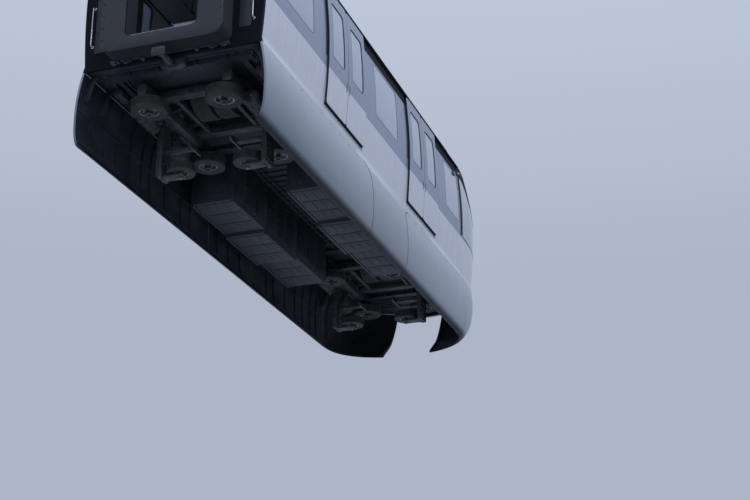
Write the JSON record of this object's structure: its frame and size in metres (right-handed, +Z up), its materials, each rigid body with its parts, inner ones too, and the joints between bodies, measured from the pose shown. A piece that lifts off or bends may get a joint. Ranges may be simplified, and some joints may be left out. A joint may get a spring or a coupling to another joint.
{
  "type": "straddle monorail car",
  "caption": "End car of a straddle monorail: hollow body with a round glazed nose, sliding doors, a rear gangway, and bogies under covers that wrap the beam.",
  "frame": {"origin": "on the beam's running surface, on the car's centre line, midway between the two load axles", "axes": "+X along the beam to the rounded nose, +Y to the car's left, +Z up"},
  "size_m": [12.8, 3.176, 4.31],
  "materials": {
    "silver_paint": "satin two-coat silver-white paint",
    "door_paint": "satin two-coat silver-white paint",
    "skirt_paint": "satin grey-silver paint",
    "roof_paint": "matt grey paint with near-black edges",
    "dark_paint": "matt near-black paint",
    "tinted_glass": "grey-tinted laminated glass",
    "bellows_rubber": "matt coated fabric and rubber",
    "underframe_paint": "matt dark grey paint",
    "seat_plastic": "moulded glass-fibre, matt blue",
    "rail_steel": "brushed stainless steel",
    "lamp_glass": "clear lens over a bright reflector",
    "desk_plastic": "moulded dark grey",
    "bogie_steel": "dark grey paint over welded steel",
    "tyre_rubber": "black rubber on painted rims"
  },
  "bodies": {
    "car_body": {"side_wall_left": "silver_paint", "side_wall_right": "silver_paint", "nose": "silver_paint", "bogie_cover_rear_left": "skirt_paint", "bogie_cover_rear_right": "skirt_paint", "bogie_cover_front_left": "skirt_paint", "bogie_cover_front_right": "skirt_paint", "nose_apron": "skirt_paint", "roof": "roof_paint", "air_conditioning_unit": "roof_paint", "rear_end_wall": "dark_paint", "windscreen": "tinted_glass", "window_rear_left": "tinted_glass", "window_rear_right": "tinted_glass", "window_middle_left": "tinted_glass", "window_middle_right": "tinted_glass", "window_front_left": "tinted_glass", "window_front_right": "tinted_glass", "gangway_bellows": "bellows_rubber", "underframe": "underframe_paint", "coupling_bar": "underframe_paint", "wheel_well_rear": "underframe_paint", "wheel_well_front": "underframe_paint", "equipment_cases_left": "underframe_paint", "equipment_cases_right": "underframe_paint", "seats_over_rear_wheels": "seat_plastic", "seats_over_front_wheels": "seat_plastic", "bench_left": "seat_plastic", "bench_right": "seat_plastic", "driver_seat": "seat_plastic", "handrails": "rail_steel", "control_desk": "desk_plastic", "headlamp_left": "lamp_glass", "headlamp_right": "lamp_glass"},
    "door_rear_left_rear_leaf": {"door_rear_left_rear_leaf": "door_paint"},
    "door_rear_left_front_leaf": {"door_rear_left_front_leaf": "door_paint"},
    "door_rear_right_rear_leaf": {"door_rear_right_rear_leaf": "door_paint"},
    "door_rear_right_front_leaf": {"door_rear_right_front_leaf": "door_paint"},
    "door_front_left_rear_leaf": {"door_front_left_rear_leaf": "door_paint"},
    "door_front_left_front_leaf": {"door_front_left_front_leaf": "door_paint"},
    "door_front_right_rear_leaf": {"door_front_right_rear_leaf": "door_paint"},
    "door_front_right_front_leaf": {"door_front_right_front_leaf": "door_paint"},
    "bogie_rear": {"bogie_frame_rear": "bogie_steel"},
    "load_axle_rear": {"load_axle_rear": "tyre_rubber"},
    "guide_wheel_rear_rear_left": {"guide_wheel_rear_rear_left": "tyre_rubber"},
    "guide_wheel_rear_front_left": {"guide_wheel_rear_front_left": "tyre_rubber"},
    "steadying_wheel_rear_left": {"steadying_wheel_rear_left": "tyre_rubber"},
    "guide_wheel_rear_rear_right": {"guide_wheel_rear_rear_right": "tyre_rubber"},
    "guide_wheel_rear_front_right": {"guide_wheel_rear_front_right": "tyre_rubber"},
    "steadying_wheel_rear_right": {"steadying_wheel_rear_right": "tyre_rubber"},
    "bogie_front": {"bogie_frame_front": "bogie_steel"},
    "load_axle_front": {"load_axle_front": "tyre_rubber"},
    "guide_wheel_front_rear_left": {"guide_wheel_front_rear_left": "tyre_rubber"},
    "guide_wheel_front_front_left": {"guide_wheel_front_front_left": "tyre_rubber"},
    "steadying_wheel_front_left": {"steadying_wheel_front_left": "tyre_rubber"},
    "guide_wheel_front_rear_right": {"guide_wheel_front_rear_right": "tyre_rubber"},
    "guide_wheel_front_front_right": {"guide_wheel_front_front_right": "tyre_rubber"},
    "steadying_wheel_front_right": {"steadying_wheel_front_right": "tyre_rubber"}
  },
  "joints": [
    {"name": "door_rear_left_rear_leaf_slide", "type": "slide", "parent": "car_body", "child": "door_rear_left_rear_leaf", "axis": [-1, 0, 0], "range_m": [0, 0.8]},
    {"name": "door_rear_left_front_leaf_slide", "type": "slide", "parent": "car_body", "child": "door_rear_left_front_leaf", "axis": [1, 0, 0], "range_m": [0, 0.8]},
    {"name": "door_rear_right_rear_leaf_slide", "type": "slide", "parent": "car_body", "child": "door_rear_right_rear_leaf", "axis": [-1, 0, 0], "range_m": [0, 0.8]},
    {"name": "door_rear_right_front_leaf_slide", "type": "slide", "parent": "car_body", "child": "door_rear_right_front_leaf", "axis": [1, 0, 0], "range_m": [0, 0.8]},
    {"name": "door_front_left_rear_leaf_slide", "type": "slide", "parent": "car_body", "child": "door_front_left_rear_leaf", "axis": [-1, 0, 0], "range_m": [0, 0.8]},
    {"name": "door_front_left_front_leaf_slide", "type": "slide", "parent": "car_body", "child": "door_front_left_front_leaf", "axis": [1, 0, 0], "range_m": [0, 0.8]},
    {"name": "door_front_right_rear_leaf_slide", "type": "slide", "parent": "car_body", "child": "door_front_right_rear_leaf", "axis": [-1, 0, 0], "range_m": [0, 0.8]},
    {"name": "door_front_right_front_leaf_slide", "type": "slide", "parent": "car_body", "child": "door_front_right_front_leaf", "axis": [1, 0, 0], "range_m": [0, 0.8]},
    {"name": "bogie_rear_yaw", "type": "hinge", "parent": "car_body", "child": "bogie_rear", "pos_m": [-3.9, 0, 0], "axis": [0, 0, 1], "range_deg": [-4, 4]},
    {"name": "load_axle_rear_spin", "type": "hinge", "parent": "bogie_rear", "child": "load_axle_rear", "pos_m": [-3.9, 0, 0.475], "axis": [0, 1, 0], "continuous": true},
    {"name": "guide_wheel_rear_rear_left_spin", "type": "hinge", "parent": "bogie_rear", "child": "guide_wheel_rear_rear_left", "pos_m": [-4.95, 0.635, -0.25], "axis": [0, 0, 1], "continuous": true},
    {"name": "guide_wheel_rear_front_left_spin", "type": "hinge", "parent": "bogie_rear", "child": "guide_wheel_rear_front_left", "pos_m": [-2.85, 0.635, -0.25], "axis": [0, 0, 1], "continuous": true},
    {"name": "steadying_wheel_rear_left_spin", "type": "hinge", "parent": "bogie_rear", "child": "steadying_wheel_rear_left", "pos_m": [-3.9, 0.58, -0.85], "axis": [0, 0, 1], "continuous": true},
    {"name": "guide_wheel_rear_rear_right_spin", "type": "hinge", "parent": "bogie_rear", "child": "guide_wheel_rear_rear_right", "pos_m": [-4.95, -0.635, -0.25], "axis": [0, 0, 1], "continuous": true},
    {"name": "guide_wheel_rear_front_right_spin", "type": "hinge", "parent": "bogie_rear", "child": "guide_wheel_rear_front_right", "pos_m": [-2.85, -0.635, -0.25], "axis": [0, 0, 1], "continuous": true},
    {"name": "steadying_wheel_rear_right_spin", "type": "hinge", "parent": "bogie_rear", "child": "steadying_wheel_rear_right", "pos_m": [-3.9, -0.58, -0.85], "axis": [0, 0, 1], "continuous": true},
    {"name": "bogie_front_yaw", "type": "hinge", "parent": "car_body", "child": "bogie_front", "pos_m": [3.9, 0, 0], "axis": [0, 0, 1], "range_deg": [-4, 4]},
    {"name": "load_axle_front_spin", "type": "hinge", "parent": "bogie_front", "child": "load_axle_front", "pos_m": [3.9, 0, 0.475], "axis": [0, 1, 0], "continuous": true},
    {"name": "guide_wheel_front_rear_left_spin", "type": "hinge", "parent": "bogie_front", "child": "guide_wheel_front_rear_left", "pos_m": [2.85, 0.635, -0.25], "axis": [0, 0, 1], "continuous": true},
    {"name": "guide_wheel_front_front_left_spin", "type": "hinge", "parent": "bogie_front", "child": "guide_wheel_front_front_left", "pos_m": [4.95, 0.635, -0.25], "axis": [0, 0, 1], "continuous": true},
    {"name": "steadying_wheel_front_left_spin", "type": "hinge", "parent": "bogie_front", "child": "steadying_wheel_front_left", "pos_m": [3.9, 0.58, -0.85], "axis": [0, 0, 1], "continuous": true},
    {"name": "guide_wheel_front_rear_right_spin", "type": "hinge", "parent": "bogie_front", "child": "guide_wheel_front_rear_right", "pos_m": [2.85, -0.635, -0.25], "axis": [0, 0, 1], "continuous": true},
    {"name": "guide_wheel_front_front_right_spin", "type": "hinge", "parent": "bogie_front", "child": "guide_wheel_front_front_right", "pos_m": [4.95, -0.635, -0.25], "axis": [0, 0, 1], "continuous": true},
    {"name": "steadying_wheel_front_right_spin", "type": "hinge", "parent": "bogie_front", "child": "steadying_wheel_front_right", "pos_m": [3.9, -0.58, -0.85], "axis": [0, 0, 1], "continuous": true}
  ]
}
